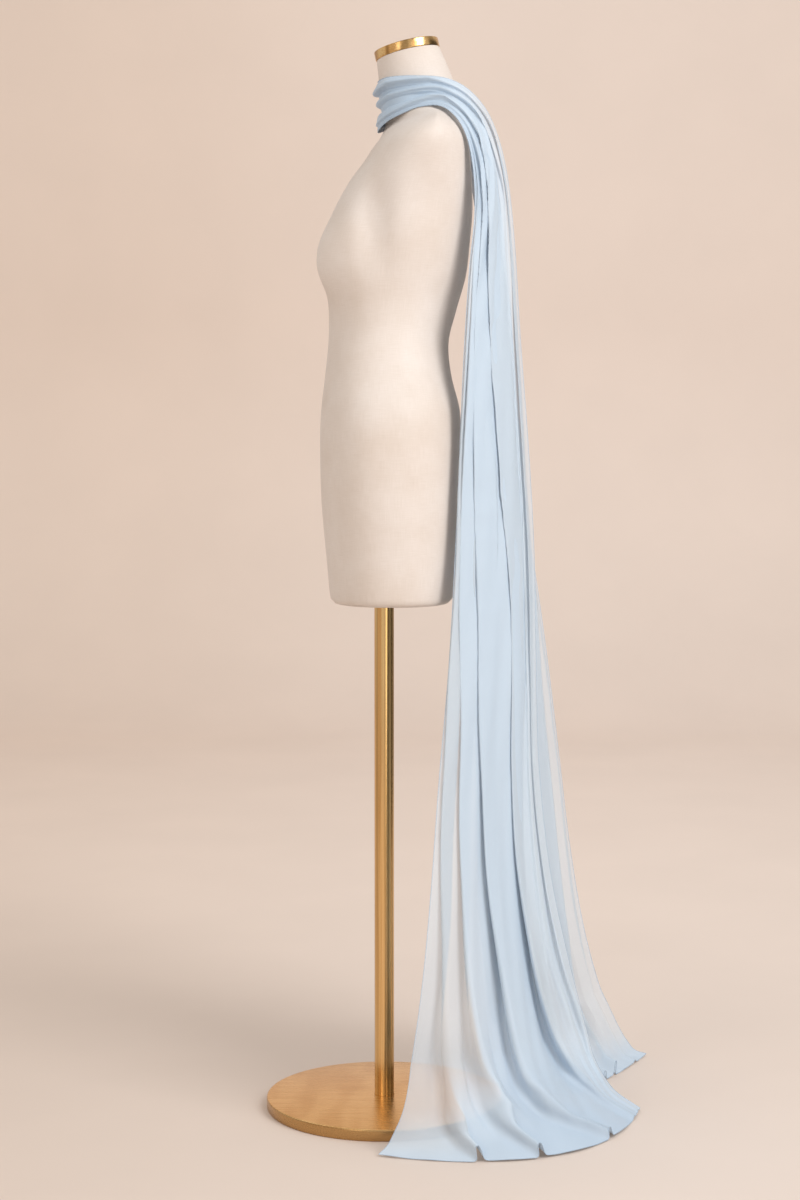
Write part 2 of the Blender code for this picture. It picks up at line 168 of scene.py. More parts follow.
# The right end, written as if it were on the left side too, and mirrored when it is draped.
RIGHT_END = np.array((
    (0.00, 0.000, -0.0095, 1.508, 0.000, -0.0085, 1.583, 0.000, 0.100),
    (0.05, 0.048, 0.008, 1.519, 0.040, 0.006, 1.584, 0.000, 0.098),
    (0.10, 0.076, 0.050, 1.533, 0.060, 0.049, 1.583, 0.001, 0.098),
    (0.145, 0.090, 0.086, 1.533, 0.059, 0.094, 1.579, 0.003, 0.082),
    (0.19, 0.100, 0.113, 1.507, 0.050, 0.129, 1.562, 0.006, 0.105),
    (0.24, 0.105, 0.131, 1.463, 0.037, 0.153, 1.526, 0.010, 0.160),
    (0.32, 0.108, 0.144, 1.386, 0.021, 0.169, 1.453, 0.015, 0.270),
    (0.42, 0.110, 0.155, 1.292, 0.013, 0.173, 1.340, 0.022, 0.370),
    (0.56, 0.110, 0.176, 1.170, 0.012, 0.168, 1.185, 0.027, 0.440),
    (0.72, 0.117, 0.207, 1.010, 0.015, 0.158, 1.015, 0.027, 0.480),
    (0.88, 0.125, 0.237, 0.850, 0.018, 0.150, 0.850, 0.027, 0.500),
    (1.04, 0.136, 0.262, 0.690, 0.022, 0.145, 0.690, 0.028, 0.500),
    (1.20, 0.150, 0.283, 0.535, 0.025, 0.143, 0.535, 0.030, 0.500),
    (1.36, 0.170, 0.303, 0.380, 0.028, 0.146, 0.380, 0.033, 0.500),
    (1.50, 0.195, 0.328, 0.240, 0.031, 0.155, 0.240, 0.034, 0.500),
    (1.62, 0.224, 0.360, 0.125, 0.034, 0.172, 0.125, 0.032, 0.500),
    (1.70, 0.246, 0.388, 0.054, 0.036, 0.200, 0.058, 0.026, 0.500),
    (1.77, 0.265, 0.415, 0.014, 0.038, 0.242, 0.020, 0.018, 0.450),
    (1.85, 0.281, 0.442, 0.001, 0.040, 0.290, 0.001, 0.010, 0.440),
))

# Where each fold's crest lies across the scarf, as a share of the way from its lower to its upper
# edge: run, then folds one to six
LEFT_CRESTS = np.array((
    (0.00, 0.010, 0.020, 0.040, 0.110, 0.490, 0.710),
    (0.05, 0.010, 0.020, 0.040, 0.100, 0.500, 0.720),
    (0.10, 0.012, 0.025, 0.050, 0.130, 0.510, 0.720),
    (0.145, 0.015, 0.035, 0.070, 0.200, 0.520, 0.720),
    (0.19, 0.020, 0.050, 0.100, 0.260, 0.540, 0.730),
    (0.24, 0.025, 0.060, 0.130, 0.320, 0.580, 0.750),
    (0.32, 0.030, 0.070, 0.160, 0.380, 0.640, 0.800),
    (0.42, 0.030, 0.080, 0.190, 0.420, 0.680, 0.840),
    (0.56, 0.035, 0.090, 0.220, 0.490, 0.720, 0.850),
    (0.72, 0.035, 0.100, 0.250, 0.580, 0.760, 0.860),
    (0.88, 0.040, 0.115, 0.300, 0.670, 0.780, 0.870),
    (1.04, 0.050, 0.145, 0.340, 0.690, 0.790, 0.870),
    (1.20, 0.070, 0.175, 0.360, 0.670, 0.790, 0.870),
    (1.36, 0.090, 0.200, 0.385, 0.650, 0.790, 0.880),
    (1.50, 0.110, 0.215, 0.420, 0.650, 0.790, 0.880),
    (1.62, 0.135, 0.245, 0.450, 0.720, 0.850, 0.930),
    (1.70, 0.165, 0.300, 0.490, 0.820, 0.900, 0.950),
    (1.77, 0.215, 0.370, 0.600, 0.880, 0.930, 0.965),
    (1.85, 0.262, 0.437, 0.733, 0.920, 0.950, 0.980),
))
RIGHT_CRESTS = np.array((
    (0.00, 0.010, 0.020, 0.040, 0.110, 0.490, 0.710),
    (0.10, 0.012, 0.025, 0.050, 0.130, 0.510, 0.720),
    (0.145, 0.015, 0.035, 0.070, 0.200, 0.520, 0.720),
    (0.19, 0.020, 0.055, 0.120, 0.280, 0.540, 0.740),
    (0.24, 0.040, 0.100, 0.190, 0.380, 0.590, 0.780),
    (0.32, 0.060, 0.160, 0.270, 0.480, 0.670, 0.840),
    (0.42, 0.080, 0.220, 0.340, 0.560, 0.740, 0.880),
    (0.88, 0.100, 0.330, 0.440, 0.620, 0.800, 0.920),
    (1.36, 0.110, 0.360, 0.490, 0.640, 0.820, 0.920),
    (1.62, 0.140, 0.420, 0.550, 0.700, 0.860, 0.950),
    (1.85, 0.200, 0.480, 0.600, 0.780, 0.900, 0.970),
))
# How the spare cloth is shared out between the folds: run, then folds one to six
LEFT_SPARE = np.array((
    (0.00, 0.01, 0.01, 0.01, 0.05, 0.50, 0.42),
    (0.10, 0.01, 0.01, 0.02, 0.18, 0.46, 0.32),
    (0.19, 0.01, 0.02, 0.06, 0.48, 0.25, 0.18),
    (0.32, 0.03, 0.09, 0.18, 0.50, 0.03, 0.17),
    (0.56, 0.07, 0.15, 0.25, 0.37, 0.01, 0.15),
    (0.88, 0.12, 0.18, 0.26, 0.31, 0.01, 0.12),
    (1.20, 0.18, 0.20, 0.26, 0.27, 0.01, 0.08),
    (1.50, 0.22, 0.21, 0.26, 0.24, 0.01, 0.06),
    (1.70, 0.26, 0.27, 0.26, 0.16, 0.01, 0.04),
    (1.85, 0.36, 0.33, 0.26, 0.02, 0.01, 0.02),
))
RIGHT_SPARE = np.array((
    (0.00, 0.01, 0.01, 0.01, 0.05, 0.50, 0.42),
    (0.10, 0.01, 0.01, 0.03, 0.15, 0.46, 0.34),
    (0.19, 0.01, 0.03, 0.08, 0.45, 0.25, 0.18),
    (0.32, 0.02, 0.18, 0.14, 0.36, 0.12, 0.18),
    (0.88, 0.02, 0.20, 0.12, 0.34, 0.12, 0.20),
    (1.50, 0.02, 0.22, 0.10, 0.36, 0.12, 0.18),
    (1.85, 0.01, 0.22, 0.12, 0.38, 0.12, 0.15),
))
# How many layers of the chiffon lie together in each flat between the folds, because the scarf is
# also gathered within them: run, the flat below fold one, then the flats above folds one to six
LEFT_LAYERS_AND_SHADE = np.array((
    (0.00, 5.0, 5.0, 5.0, 5.0, 5.0, 5.0, 5.0),
    (0.08, 4.6, 4.6, 4.6, 4.6, 4.4, 4.2, 4.0),
    (0.16, 3.4, 3.4, 3.4, 3.4, 3.2, 3.0, 2.6),
    (0.24, 3.0, 3.2, 3.4, 3.2, 2.7, 1.8, 1.0),
    (0.42, 1.3, 1.8, 3.0, 3.0, 2.1, 1.5, 1.0),
    (0.88, 1.0, 1.4, 3.0, 3.0, 2.1, 1.5, 1.0),
    (1.36, 1.0, 1.0, 2.8, 3.0, 1.8, 1.5, 1.1),
    (1.50, 1.0, 1.0, 2.6, 3.0, 1.2, 1.6, 1.6),
    (1.62, 1.0, 1.1, 2.8, 3.2, 1.5, 1.8, 1.8),
    # from here to the end the counts are raised to reach the darkest tones: partly the cloth piling
    # on the floor, partly painted shade on the train lit from above
    (1.68, 1.0, 2.2, 3.4, 3.6, 2.8, 2.6, 2.4),
    (1.77, 1.9, 3.4, 3.9, 4.0, 3.6, 3.4, 3.0),
    (1.85, 2.8, 3.6, 3.9, 4.0, 3.8, 3.4, 3.2),
))
RIGHT_LAYERS = np.array((
    (0.00, 5.0, 5.0, 5.0, 5.0, 5.0, 5.0, 5.0),
    (0.08, 4.6, 4.6, 4.6, 4.6, 4.4, 4.2, 4.0),
    (0.16, 3.4, 3.4, 3.4, 3.4, 3.2, 3.0, 2.6),
    (0.24, 3.0, 3.2, 3.4, 3.2, 2.6, 1.8, 1.0),
    (0.42, 1.4, 1.8, 2.2, 2.4, 2.0, 1.5, 1.0),
    (0.88, 1.0, 1.2, 1.8, 2.2, 2.2, 1.6, 1.0),
    (1.50, 1.0, 1.1, 1.6, 2.0, 2.0, 1.4, 1.0),
    (1.70, 1.2, 1.6, 2.0, 2.2, 2.2, 1.8, 1.4),
    (1.77, 2.8, 2.8, 2.8, 2.8, 2.8, 2.6, 2.4),
    (1.85, 3.2, 3.2, 3.2, 3.2, 3.0, 2.8, 2.6),
))
LAYER_BLEND = 0.008  # the share of the width over which one flat's layers become the next one's
LEFT_TABLES = (LEFT_END, LEFT_CRESTS, LEFT_SPARE, LEFT_LAYERS_AND_SHADE)
RIGHT_TABLES = (RIGHT_END, RIGHT_CRESTS, RIGHT_SPARE, RIGHT_LAYERS)
# run, how far a fold turns back (degrees), the radius of its turns, and its lean: 0 is a pleat laid
# over its neighbour, 1 is an arch that stands up evenly
TURNS = np.array((
    (0.00, 112.0, 0.0038, 0.0),
    (0.12, 112.0, 0.0036, 0.0),
    (0.18, 160.0, 0.0018, 0.0),
    (0.24, 178.0, 0.0011, 0.0),
    (0.42, 180.0, 0.0010, 0.0),
    (1.20, 180.0, 0.0012, 0.0),
    (1.36, 176.0, 0.0024, 0.0),
    (1.50, 164.0, 0.0055, 0.0),
    (1.62, 144.0, 0.0095, 0.0),
    (1.70, 128.0, 0.0110, 0.15),
    (1.78, 110.0, 0.0085, 0.50),
    (1.85, 98.0, 0.0062, 0.70),
))
FITTING_STEPS = 72  # samples along a fold while its width is fitted
FITTING_ROUNDS = 24
FINE_STEPS = 4  # samples of the cloth's heading for each column of the grid
WIDEST_TURN = 0.47  # the largest share of a fold's cloth that may run back
TIGHTEST_CHORD = 0.985  # the largest share of the cloth that the straight way across may take
LEAST_SPARE = 0.003
SOFTEN_LIMITS = (0.02, 0.45)
WANDER = 0.008  # how far a crest strays from its line
WANDER_FROM = 0.15  # the run by which it strays fully
RIPPLE_FROM = 0.3  # the run by which the ripples are full
RIPPLE_LEAST = 0.25
# Slow ripples in the cloth: height, turns across, turns along, where they start
RIPPLES = (
    (0.0010, 31.0, 4.0, 0.4),
    (0.0008, 53.0, -7.0, 2.1),
    (0.0006, 83.0, 11.0, 4.4),
)

# --- Finishes ------------------------------------------------------------------------------------
SEEN_THROUGH_A_LAYER = 0.43
MOST_LAYERS = 5
# deeper colour with more layers; the stop near four layers is darkest, painted shade for the train
# lying lit from above on the floor
CHIFFON_LAYER_AND_SHADE_TONES = (
    (0.0, (0.62, 0.705, 0.785)),
    (0.5, (0.525, 0.63, 0.74)),
    (0.7, (0.455, 0.555, 0.665)),
    (1.0, (0.445, 0.56, 0.695)),
)
HEM_TONES = ((0.3, (0.50, 0.64, 0.80)), (0.7, (0.62, 0.75, 0.88)))
LINEN_TONES = ((0.30, (0.69, 0.605, 0.545)), (0.70, (0.775, 0.71, 0.67)))
THREAD_TONES = ((0.35, (0.93, 0.92, 0.90)), (0.65, (1.0, 1.0, 1.0)))
BRASS_TONES = ((0.3, (0.70, 0.42, 0.165)), (0.7, (0.90, 0.61, 0.285)))
# the disc rim's colour, darkened as painted shade on its reflection
RIM_SHADE_BRASS = (0.50, 0.30, 0.125)
# stretch of the brushing, which is small along it, polish, grain, stretch of the painted reflection
# streaks, their shade
BRASS_FINISHES = {
    "brushed disc brass": ((500, 9, 500), 0.26, 0.05, (5, 22, 5), 0.90),
    "brushed pole brass": ((900, 900, 5), 0.17, 0.10, (190, 190, 0.4), 0.50),
    "brushed cap brass": ((260, 260, 900), 0.22, 0.08, (60, 60, 4), 0.55),
}

# --- Room ----------------------------------------------------------------------------------------
ROOM_FRONT = 5.0
ROOM_HALF_WIDTH = 7.0
ROOM_BEND = -4.4
BEND_RADIUS = 1.6
WALL_RISE = 4.0
# the beige paint at the left, darker as painted shade, and at the right, lighter as painted light
PAINT_LEFT_SHADED = (0.795, 0.665, 0.575)
PAINT_RIGHT_LIT = (0.845, 0.730, 0.655)
PAINT_SHADE_SIDES = (-1.4, 0.6)  # from left to right, the painted shade lifts between these
PAINT_SHADE_DEPTHS = (-1.9, 0.1)  # from the wall to the near floor, over which painted shade darkens the paint
FLOOR_SHADE = 0.89
LOW_WALL_SHADE = 0.95
AIR_COLOUR = (1.0, 0.97, 0.935)
AIR_GLOW = 0.68
WHITE = (1, 1, 1)
CANDLE = (1.0, 0.93, 0.82)
# name, place, target, size, power, colour
LAMPS = (
    ("key", (2.25, 2.35, 2.8), (0, 0, 1.0), (1.8, 2.4), 93, WHITE),
    ("fill", (2.7, -2.1, 2.0), (0, 0, 0.9), (2.0, 2.4), 26, (1.0, 0.92, 0.83)),
    ("backdrop", (-2.2, 0.0, 4.2), (-5.4, 0, 0.6), (6.0, 1.2), 42, WHITE),
)
# name, place, target, size, glow, colour
CARDS = (
    ("dark card", (-1.4, 2.4, 0.9), (-1.4, 0, 0.9), (2.9, 3.6), 0.12, CANDLE),
    ("bright card", (2.30, 1.22, 0.9), (0, 0.0, 0.9), (0.9, 3.6), 2.1, CANDLE),
    ("shaded card", (1.3, -2.2, 0.9), (0, 0.0, 0.9), (2.4, 3.6), 0.55, (1.0, 0.80, 0.62)),
)
CAMERA_PLACE = (3.34, 0.0245, 1.0164)
CAMERA_PITCH = 0.0664
CAMERA_LENS = 65.0
CAMERA_SENSOR = 36.0


# --- Small tools ---------------------------------------------------------------------------------
def smooth_rows(table, at):
    """The table's row at each place, on a smooth curve through all rows."""
    keys = table[:, 0]
    last = len(keys) - 2
    i = np.clip(np.searchsorted(keys, at, side="right") - 1, 0, last)
    before = table[np.maximum(i - 1, 0)]
    low = table[i]
    high = table[i + 1]
    after = table[np.minimum(i + 2, len(keys) - 1)]
    span = (high[:, 0] - low[:, 0])[:, None]
    t = (at[:, None] - low[:, :1]) / span
    leave = span * (high - before) / (high[:, :1] - before[:, :1])
    arrive = span * (after - low) / (after[:, :1] - low[:, :1])
    return (
        (2 * t**3 - 3 * t**2 + 1) * low
        + (t**3 - 2 * t**2 + t) * leave
        + (3 * t**2 - 2 * t**3) * high
        + (t**3 - t**2) * arrive
    )


def mixed(low, high, share):
    return low + (high - low) * share


def unit(vectors):
    return vectors / np.linalg.norm(vectors, axis=-1, keepdims=True)


def corners_in(geometry):
    return [item for item in geometry if isinstance(item, bmesh.types.BMVert)]


def placed(name, mesh, material):
    """A new object at the origin with this mesh and material."""
    made = bpy.data.objects.new(name, mesh)
    bpy.context.scene.collection.objects.link(made)
    mesh.materials.clear()
    mesh.materials.append(material)
    return made


def placed_shape(name, shape, material):
    mesh = bpy.data.meshes.new(name)
    shape.to_mesh(mesh)
    shape.free()
    return placed(name, mesh, material)


def smooth_piece(made):
    """Makes an object a smooth piece of the part."""
    made.data.shade_smooth()
    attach(made, "root")
    return made


def flat_grid(columns, rows, width, length):
    """A flat sheet from (0, 0) to (1, 1), which keeps its flat size in metres as its UV map."""
    shape = bmesh.new()
    bmesh.ops.create_grid(shape, x_segments=columns, y_segments=rows, size=0.5)
    bmesh.ops.translate(shape, verts=shape.verts, vec=(0.5, 0.5, 0))
    flat = shape.loops.layers.uv.new("flat")
    for face in shape.faces:
        for loop in face.loops:
            loop[flat].uv = (loop.vert.co.x * width, loop.vert.co.y * length)
    return shape


# --- Stand ---------------------------------------------------------------------------------------
def turned_piece(name, profile, seat, material, replaced):
    """A profile swept once round the axis and then seated."""
    shape = bmesh.new()
    points = [shape.verts.new((reach, 0, height)) for reach, height in profile]
    lines = [shape.edges.new(pair) for pair in zip(points, points[1:])]
    bmesh.ops.spin(
        shape,
        geom=points + lines,
        cent=(0, 0, 0),
        axis=(0, 0, 1),
        angle=2 * math.pi,
        steps=LATHE_STEPS,
        use_merge=True,
    )
    bmesh.ops.remove_doubles(shape, verts=shape.verts, dist=LATHE_MERGE)
    bmesh.ops.transform(shape, matrix=seat, verts=shape.verts)
    bmesh.ops.recalc_face_normals(shape, faces=shape.faces)
    made = smooth_piece(placed_shape(name, shape, material))
    made.data.set_sharp_from_angle(angle=math.radians(BRASS_SHARP_ANGLE))
    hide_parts(replaced)
    return made


def build_stand():
    level = Matrix.Identity(4)
    disc_brass = brass_finish("brushed disc brass", rim_radius=DISC_RADIUS)
    turned_piece("brass_disc", DISC_PROFILE, level, disc_brass, "base_disc")
    pole_brass = brass_finish("brushed pole brass")
    turned_piece("brass_pole", POLE_PROFILE, level, pole_brass, "stand_pole")
    size = Matrix.Diagonal((CAP_HALF_WIDTH, CAP_HALF_DEPTH, 1, 1))
    tilt = Matrix.Rotation(math.radians(CAP_TILT), 4, "X")
    seat = Matrix.Translation(CAP_SEAT) @ tilt @ Matrix.Translation((0, CAP_OFF_SIDE, 0)) @ size
    cap_brass = brass_finish("brushed cap brass")
    turned_piece("brass_neck_cap", CAP_PROFILE, seat, cap_brass, "neck_cap")


# --- Form ----------------------------------------------------------------------------------------
def add_bust(points):
    """Swells the front at the bust."""
    sideways = (np.abs(points[:, 0]) - BUST_X) / BUST_SPREAD
    upward = (points[:, 2] - BUST_Z) / BUST_SPREAD
    upward = upward * np.where(upward > 0, BUST_FADE_UP, BUST_FADE_DOWN)
    swell = BUST_REACH * np.exp(-(sideways**2) - np.abs(upward) ** BUST_ROUNDNESS)
    points[:, 1] -= np.where(points[:, 1] < 0, swell, 0)


def hollow_arms(points):
    """Presses in the soft hollow in front of each arm stump."""
    forward = (points[:, 1] - ARM_HOLLOW_Y) / ARM_HOLLOW_WIDTH
    upward = (points[:, 2] - ARM_HOLLOW_Z) / ARM_HOLLOW_HEIGHT
    hollow = ARM_HOLLOW_DEPTH * np.exp(-(forward**2) - upward**2)
    most = np.abs(points[:, 0]) * ARM_HOLLOW_MOST
    points[:, 0] -= np.sign(points[:, 0]) * np.minimum(hollow, most)


def form_surface(around, levels):
    """Points on the form at each share of the way round, for each height."""
    rows = smooth_rows(FORM_RINGS, levels)
    height, side, front, back, half_width, square, tilt = (rows[:, k] for k in range(7))
    across = np.cos(2 * np.pi * around)
    along = np.sin(2 * np.pi * around)
    power = 2 / square
    reach = np.where(along > 0, back - side, side - front)
    x = half_width * np.sign(across) * np.abs(across) ** power
    y = reach * np.sign(along) * np.abs(along) ** power
    turn = np.radians(tilt)
    points = np.stack((x, side + y * np.cos(turn), height + y * np.sin(turn)), axis=-1)
    add_bust(points)
    hollow_arms(points)
    return points


def open_socket(shape, rim):
    """Closes the underside as far as the pole's socket and sinks the socket into it."""
    underside = bmesh.ops.extrude_edge_only(shape, edges=rim)["geom"]
    for corner in corners_in(underside):
        inward = Vector((corner.co.x, corner.co.y, 0)).normalized() * SOCKET_RADIUS
        corner.co = Vector((inward.x, inward.y, corner.co.z))
    edges = [item for item in underside if isinstance(item, bmesh.types.BMEdge)]
    mouth = [edge for edge in edges if edge.is_boundary]
    socket = bmesh.ops.extrude_edge_only(shape, edges=mouth)["geom"]
    bmesh.ops.translate(shape, verts=corners_in(socket), vec=(0, 0, SOCKET_DEPTH))
    bmesh.ops.holes_fill(shape, edges=[edge for edge in shape.edges if edge.is_boundary])


def build_form(linen):
    shape = flat_grid(FORM_SIDES, FORM_LEVELS, FORM_GIRTH, FORM_HEIGHT)
    corners = list(shape.verts)
    around = np.array([corner.co.x for corner in corners])
    share = np.array([corner.co.y for corner in corners])
    levels = HEM_Z + (FORM_RINGS[-1, 0] - HEM_Z) * share
    for corner, point in zip(corners, form_surface(around, levels)):
        corner.co = point
    bmesh.ops.remove_doubles(shape, verts=shape.verts, dist=FORM_MERGE)
    rims = [edge for edge in shape.edges if edge.is_boundary]
    low_rim = [edge for edge in rims if edge.verts[0].co.z < HEM_Z + HEM_REACH]
    high_rim = [edge for edge in rims if edge.verts[0].co.z > HEM_Z + HEM_REACH]
    bmesh.ops.holes_fill(shape, edges=high_rim)
    open_socket(shape, low_rim)
    bmesh.ops.recalc_face_normals(shape, faces=shape.faces)
    form = smooth_piece(placed_shape("form_linen", shape, linen))
    form.data.set_sharp_from_angle(angle=math.radians(LINEN_SHARP_ANGLE))
    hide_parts("form_torso")
    return form


# --- Scarf ---------------------------------------------------------------------------------------
def pulse(cycle, middle, width, soften):
    """A smooth step up and down again, of the given width, along one fold's cloth."""
    rising = np.clip((cycle - middle + (width + soften) / 2) / soften, 0, 1)
    falling = np.clip((cycle - middle - (width - soften) / 2) / soften, 0, 1)
    return rising**2 * (3 - 2 * rising) - falling**2 * (3 - 2 * falling)


def fold_heading(cycle, fold):
    """Which way the cloth runs along one fold, before the whole fold is turned level."""
    shift = fold["lean"] * (fold["width"] + fold["soften"]) / 2
    back = pulse(cycle, fold["middle"] - shift, fold["width"], fold["soften"])
    forth = pulse(cycle, fold["middle"] + shift, fold["width"], fold["soften"])
    return fold["turn"] * (back - fold["lean"] * forth)


def fitted_folds(left_over, middle, turn, soften, lean):
    """Folds wide enough to leave the given ratio of their cloth, for each run."""
    cycle = (np.arange(FITTING_STEPS) + 0.5)[None, :] / FITTING_STEPS
    fold = {"middle": middle, "turn": turn, "soften": soften, "lean": lean}
    fold = {name: value[:, None] for name, value in fold.items()}
    low = np.zeros((len(left_over), 1))
    high = np.full((len(left_over), 1), WIDEST_TURN)
    for _ in range(FITTING_ROUNDS):
        fold["width"] = (low + high) / 2
        heading = fold_heading(cycle, fold)
        sideways = np.sin(heading).mean(axis=1, keepdims=True)
        onward = np.cos(heading).mean(axis=1, keepdims=True)
        loose = (np.hypot(sideways, onward) > left_over[:, None]) & (onward > 0)
        low = np.where(loose, fold["width"], low)
        high = np.where(loose, high, fold["width"])
    fold["level"] = np.arctan2(sideways, onward)
    return fold


def wandering_crests(crests, runs):
    """Where each fold's crest lies for each run, straying a little from its line."""
    places = smooth_rows(crests, runs)[:, 1:]
    for k in range(places.shape[1]):
        room = np.minimum(places[:, k], 1 - places[:, k])
        slow = np.sin(runs * (9.0 + 1.7 * k) + 2.1 * k)
        quick = 0.5 * np.sin(runs * 23.0 + 1.3 * k * k)
        fade = np.clip(runs / WANDER_FROM, 0, 1)
        places[:, k] += np.clip(room, 0, WANDER) * (slow + quick) * fade
    return places


def section_paths(runs, chord, shown, crests, spare, across):
    """For each run: how far along the chord and how far beside it each point of the cloth is,
    and where across the cloth each fold's crest is."""
    places = wandering_crests(crests, runs)
    count = places.shape[1]
    takes = np.maximum(smooth_rows(spare, runs)[:, 1:], LEAST_SPARE)
    takes = takes / takes.sum(axis=1, keepdims=True)
    tight = np.minimum(chord / shown, TIGHTEST_CHORD)[:, None]
    nothing = np.zeros((len(runs), 1))
    bounds = (places[:, 1:] + places[:, :-1]) / 2
    bounds = np.concatenate((nothing, bounds, nothing + 1), axis=1)
    lengths = np.diff(bounds, axis=1) * tight
    cloth = lengths + takes * (1 - tight)
    starts = np.concatenate((nothing, np.cumsum(cloth, axis=1)), axis=1)
    turn, radius, lean = smooth_rows(TURNS, runs)[:, 1:].T
    turn = np.radians(turn)
    lean = np.clip(lean, 0, 1)
    fine = np.linspace(0, 1, FINE_STEPS * (len(across) - 1) + 1)
    middles = (fine[1:] + fine[:-1]) / 2
    heading = np.zeros((len(runs), len(middles)))
    steps = np.zeros((len(runs), count))
    for k in range(count):
        inside = (places[:, k] - bounds[:, k]) * tight[:, 0] + takes[:, k] * (1 - tight[:, 0]) / 2
        soften = np.clip(turn * radius / (cloth[:, k] * shown), *SOFTEN_LIMITS)
        left_over = lengths[:, k] / cloth[:, k]
        fold = fitted_folds(left_over, inside / cloth[:, k], turn, soften, lean)
        cycle = (middles[None, :] - starts[:, k : k + 1]) / cloth[:, k : k + 1]
        turns = fold_heading(cycle, fold) - fold["level"]
        heading = np.where((cycle >= 0) & (cycle <= 1), turns, heading)
        crest = (fold["middle"] + fold["width"] / 2)[:, 0]
        steps[:, k] = starts[:, k] + cloth[:, k] * crest
    stride = (shown / chord)[:, None] / len(middles)
    along = np.cumsum(stride * np.cos(heading), axis=1)[:, FINE_STEPS - 1 :: FINE_STEPS]
    beside = np.cumsum(stride * np.sin(heading), axis=1)[:, FINE_STEPS - 1 :: FINE_STEPS]
    along = np.concatenate((nothing, along), axis=1)
    beside = np.concatenate((nothing, beside), axis=1)
    beside -= beside[:, -1:] * across[None, :]
    return along / along[:, -1:], beside / along[:, -1:], steps


def layers_together(table, steps, runs, across):
    """How many layers lie together, for each run and each place across."""
    amounts = np.maximum(smooth_rows(table, runs)[:, 1:], 1)
    layers = np.repeat(amounts[:, :1], len(across), axis=1)
    for k in range(steps.shape[1]):
        passed = np.clip((across[None, :] - steps[:, k : k + 1]) / LAYER_BLEND + 0.5, 0, 1)
        layers += (amounts[:, k + 1 : k + 2] - amounts[:, k : k + 1]) * passed
    return layers


def ripples(runs, across):
    """How far the slow ripples lift the cloth at each place."""
    lift = np.zeros((len(runs), len(across)))
    for size, cross_turns, long_turns, start in RIPPLES:
        wave = cross_turns * across[None, :] + long_turns * runs[:, None] + start
        lift += size * np.sin(wave)
    return lift * np.clip(runs / RIPPLE_FROM, RIPPLE_LEAST, 1)[:, None]


def with_far_side(table):
    """The table with a row from the other side of the throat, so that its middle is smooth."""
    far_side = table[1] * np.array((-1, -1, 1, 1, -1, 1, 1, 1, 1))
    return np.concatenate((far_side[None, :], table))


def draped_end(tables, runs, across):
    """The points of one end of the scarf and its layers, for each run and each place across."""
    table, crests, spare, flats = tables
    rows = with_far_side(table)
    found = smooth_rows(rows, runs)
    lower, upper, bow, shown = found[:, 1:4], found[:, 4:7], found[:, 7], found[:, 8]
    passed = smooth_rows(rows, runs + LOOK_AHEAD) - smooth_rows(rows, runs - LOOK_AHEAD)
    travel = passed[:, 1:4] + passed[:, 4:7]
    chord = upper - lower
    length = np.linalg.norm(chord, axis=1)
    outward = unit(np.cross(travel, chord))
    lying = np.clip(1 - (lower[:, 2] + upper[:, 2]) / 2 / LANDING_HEIGHT, 0, 1)[:, None]
    level = unit(np.stack((chord[:, 1], -chord[:, 0], np.zeros(len(runs))), axis=-1))
    rise = mixed(outward, np.array((0.0, 0.0, 1.0)), lying)
    spread = mixed(outward, level, lying)
    along, beside, steps = section_paths(runs, length, shown, crests, spare, across)
    lowest = beside.min(axis=1, keepdims=True)
    depth = length[:, None] * (beside - lowest * lying)
    bulge = bow[:, None] * (1 - (2 * along - 1) ** 2)
    points = (
        lower[:, None, :]
        + chord[:, None, :] * along[:, :, None]
        + rise[:, None, :] * depth[:, :, None]
        + spread[:, None, :] * bulge[:, :, None]
    )
    points += (rise[:, None, :] + spread[:, None, :]) / 2 * ripples(runs, across)[:, :, None]
    points[:, :, 2] = np.maximum(points[:, :, 2], FLOOR_CLEARANCE)
    return points, layers_together(flats, steps, runs, across)


def clear_of(point, tree):
    """The point, moved out of the form where it lies inside or against it."""
    place, normal, _, _ = tree.find_nearest(point)
    if (point - place).dot(normal) < CLOTH_CLEARANCE:
        return place + normal * CLOTH_CLEARANCE
    return point


def build_scarf(chiffon, form):
    """The scarf, and the points along its edge."""
    tree = BVHTree.FromObject(form, bpy.context.evaluated_depsgraph_get())
    shape = flat_grid(SCARF_COLUMNS, SCARF_ROWS, SCARF_WIDTH, 2 * SCARF_HALF_LENGTH)
    across = np.linspace(0, 1, SCARF_COLUMNS + 1)
    runs = np.linspace(-SCARF_HALF_LENGTH, SCARF_HALF_LENGTH, SCARF_ROWS + 1)
    right, right_layers = draped_end(RIGHT_TABLES, -runs[runs < 0], across)
    right[:, :, 0] *= -1
    left, left_layers = draped_end(LEFT_TABLES, runs[runs >= 0], across)
    points = np.concatenate((right, left))
    layers = np.concatenate((right_layers, left_layers))
    gathered = shape.verts.layers.float.new("layers")
    for corner in shape.verts:
        column = round(corner.co.x * SCARF_COLUMNS)
        row = round(corner.co.y * SCARF_ROWS)
        corner.co = clear_of(Vector(points[row, column]), tree)
        corner[gathered] = layers[row, column]
    sides = (points[0, :-1], points[:-1, -1], points[-1, :0:-1], points[:0:-1, 0])
    edge = [clear_of(Vector(point), tree) for point in np.concatenate(sides)]
    bmesh.ops.recalc_face_normals(shape, faces=shape.faces)
    scarf = smooth_piece(placed_shape("scarf", shape, chiffon))
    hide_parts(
        "scarf_neck_wrap",
        "scarf_left_fall",
        "scarf_right_fall",
        "scarf_left_train",
        "scarf_right_train",
    )
    return scarf, edge


